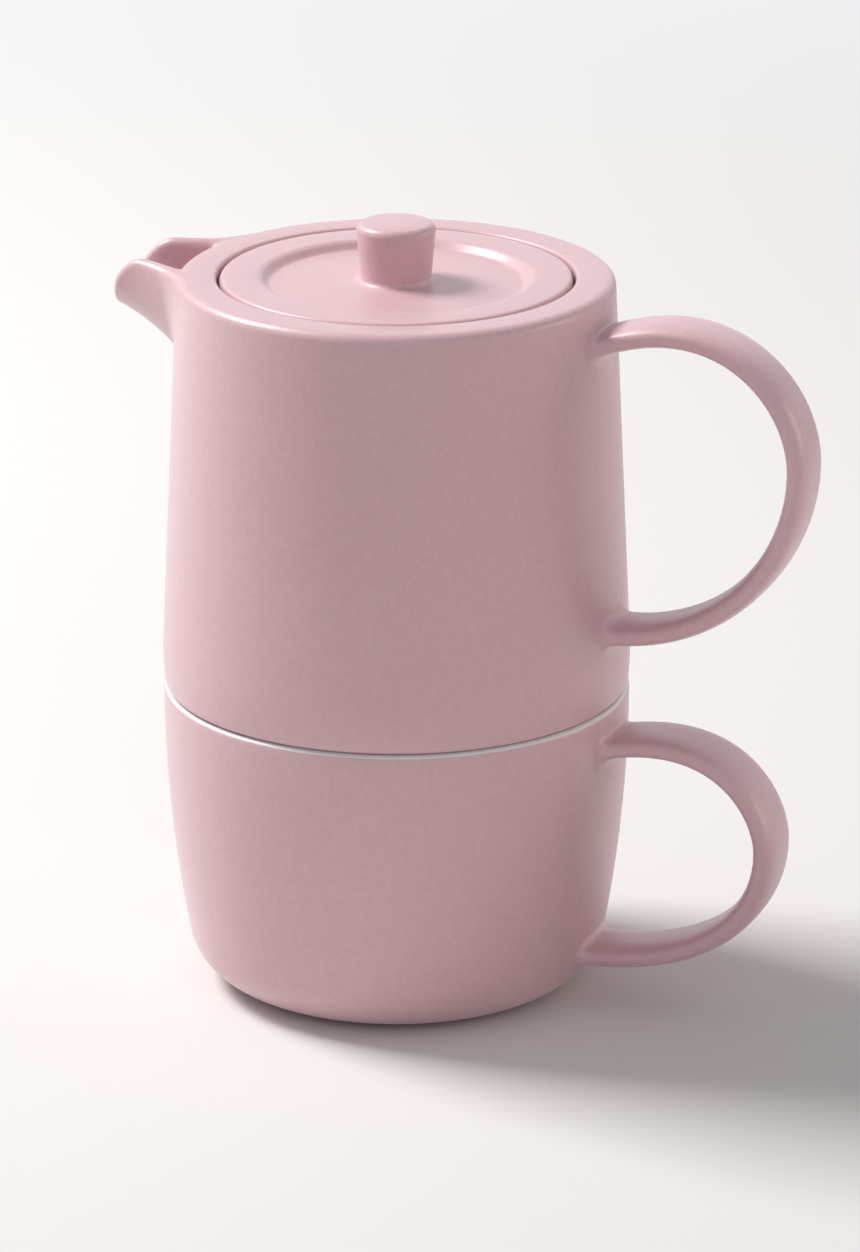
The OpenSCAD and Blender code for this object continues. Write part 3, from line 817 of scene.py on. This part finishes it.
# %% Shrink, smooth and put in place
MM, SOFTEST_EDGE = 0.001, 35
for piece, node in ((cup, "cup"), (teapot, "teapot"), (lid, "lid")):
    work_on(piece)
    bpy.ops.object.mode_set(mode="EDIT")
    bpy.ops.mesh.select_all(action="SELECT")
    bpy.ops.transform.resize(value=(MM, MM, MM), center_override=(0, 0, 0))
    bpy.ops.object.mode_set(mode="OBJECT")
    bpy.ops.object.shade_smooth_by_angle(angle=math.radians(SOFTEST_EDGE))
    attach(piece, "root")
    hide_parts(node)
    print(piece.name, "spans", [round(d, 4) for d in piece.dimensions])

# %% [markdown]
# ## The table
# The set stands on a plain matt floor. Away from the set the floor fades to the colour of the
# backdrop, so that no edge or horizon shows from any side. A light path node keeps that fade to
# what the camera sees: it sheds no light on the set. A curved backdrop would do the same for one
# view only.

# %% The floor
FLOOR_SIZE, FADE_FROM, FADE_TO = 12, 0.45, 1.3
BACKDROP = (0.95, 0.97, 1.0, 1)
start_clean()
bpy.ops.mesh.primitive_plane_add(size=FLOOR_SIZE, location=(0, 0, 0))
floor = bpy.context.object
floor.name = "floor"
print("floor:", FLOOR_SIZE, "m wide, fades out from", FADE_FROM, "to", FADE_TO, "m")

# %% Its matt paper
paper = bpy.data.materials.new("pale_floor")
paper.use_nodes = True
nodes, links = paper.node_tree.nodes, paper.node_tree.links
matt = nodes["Principled BSDF"]
matt.inputs["Base Color"].default_value = (0.82, 0.81, 0.80, 1)
matt.inputs["Roughness"].default_value = 0.9
matt.inputs["Specular IOR Level"].default_value = 0.0
floor.data.materials.append(paper)

# %% The fade
place = nodes.new("ShaderNodeTexCoord")
distance = nodes.new("ShaderNodeVectorMath")
distance.operation = "LENGTH"
links.new(place.outputs["Object"], distance.inputs[0])
fade = nodes.new("ShaderNodeMapRange")
fade.interpolation_type = "SMOOTHSTEP"
fade.inputs["From Min"].default_value = FADE_FROM
fade.inputs["From Max"].default_value = FADE_TO
links.new(distance.outputs["Value"], fade.inputs["Value"])
far = nodes.new("ShaderNodeMath")
far.operation = "MULTIPLY"
links.new(fade.outputs["Result"], far.inputs[0])
links.new(nodes.new("ShaderNodeLightPath").outputs["Is Camera Ray"], far.inputs[1])
bright = nodes.new("ShaderNodeEmission")
bright.inputs["Color"].default_value = BACKDROP
faded = nodes.new("ShaderNodeMixShader")
links.new(far.outputs["Value"], faded.inputs["Fac"])
links.new(matt.outputs["BSDF"], faded.inputs[1])
links.new(bright.outputs["Emission"], faded.inputs[2])
links.new(faded.outputs["Shader"], nodes["Material Output"].inputs["Surface"])

# %% [markdown]
# ## The light
# The main lamp stands high to the left and shines along the set's length, as a window would. A
# weak one fills the side that faces the camera, and a small warm one lifts the shade behind the
# handles. The world is the backdrop. Where the camera, a reflection or glass looks at it, it is
# at full strength, and it lights the set at a third of that.

# %% Lamps
AIM_HEIGHT = 0.08


def lamp(name, place, size, power, colour=(1, 1, 1)):
    """A square lamp that faces the middle of the set."""
    start_clean()
    bpy.ops.object.light_add(type="AREA", location=place)
    light = bpy.context.object
    light.name = name
    light.data.shape = "SQUARE"
    light.data.size, light.data.energy, light.data.color = size, power, colour
    light.rotation_euler = (
        math.atan2(math.hypot(place[0], place[1]), place[2] - AIM_HEIGHT),
        0, math.atan2(place[1], place[0]) + math.pi / 2)
    print(f"{name}: {power} W, {size} m wide")


lamp("window", (-1.1, 0.08, 1.32), 0.6, 29, (1.0, 0.985, 0.96))
lamp("fill", (0.9, -1.5, 0.9), 1.2, 3)
lamp("glow", (1.1, 0.45, 0.35), 0.5, 2.2, (1.0, 0.82, 0.7))

# %% The world
WORLD_LIGHT, WORLD_SEEN = 0.33, 1.0
world = bpy.data.worlds.new("studio")
bpy.context.scene.world = world
world.use_nodes = True
nodes, links = world.node_tree.nodes, world.node_tree.links
rays = nodes.new("ShaderNodeLightPath")
seen = rays.outputs["Is Camera Ray"]
for kind in ("Is Glossy Ray", "Is Transmission Ray"):
    either = nodes.new("ShaderNodeMath")
    either.operation = "MAXIMUM"
    links.new(seen, either.inputs[0])
    links.new(rays.outputs[kind], either.inputs[1])
    seen = either.outputs["Value"]
level = nodes.new("ShaderNodeMapRange")
level.inputs["To Min"].default_value = WORLD_LIGHT
level.inputs["To Max"].default_value = WORLD_SEEN
links.new(seen, level.inputs["Value"])
links.new(level.outputs["Result"], nodes["Background"].inputs["Strength"])
nodes["Background"].inputs["Color"].default_value = BACKDROP
bpy.context.scene.view_settings.view_transform = "Standard"

# %% [markdown]
# ## The camera
# A long lens from one and a half metres away keeps the upright lines nearly parallel. The camera
# looks down by 19 degrees, and it stands 21 degrees round from the straight side view.

# %% Camera
CAMERA_PLACE, CAMERA_PITCH, CAMERA_TURN = (0.5114, -1.3321, 0.5632), 71.251, 20.715
CAMERA_LENS, SENSOR_WIDTH, CLIP_START, CLIP_END = 201.9, 36, 0.05, 20
start_clean()
bpy.ops.object.camera_add(
    location=CAMERA_PLACE,
    rotation=(math.radians(CAMERA_PITCH), 0, math.radians(CAMERA_TURN)))
camera = bpy.context.object
camera.data.sensor_width, camera.data.lens = SENSOR_WIDTH, CAMERA_LENS
camera.data.clip_start, camera.data.clip_end = CLIP_START, CLIP_END
bpy.context.scene.camera = camera
print("camera lens:", round(camera.data.lens, 1), "mm")
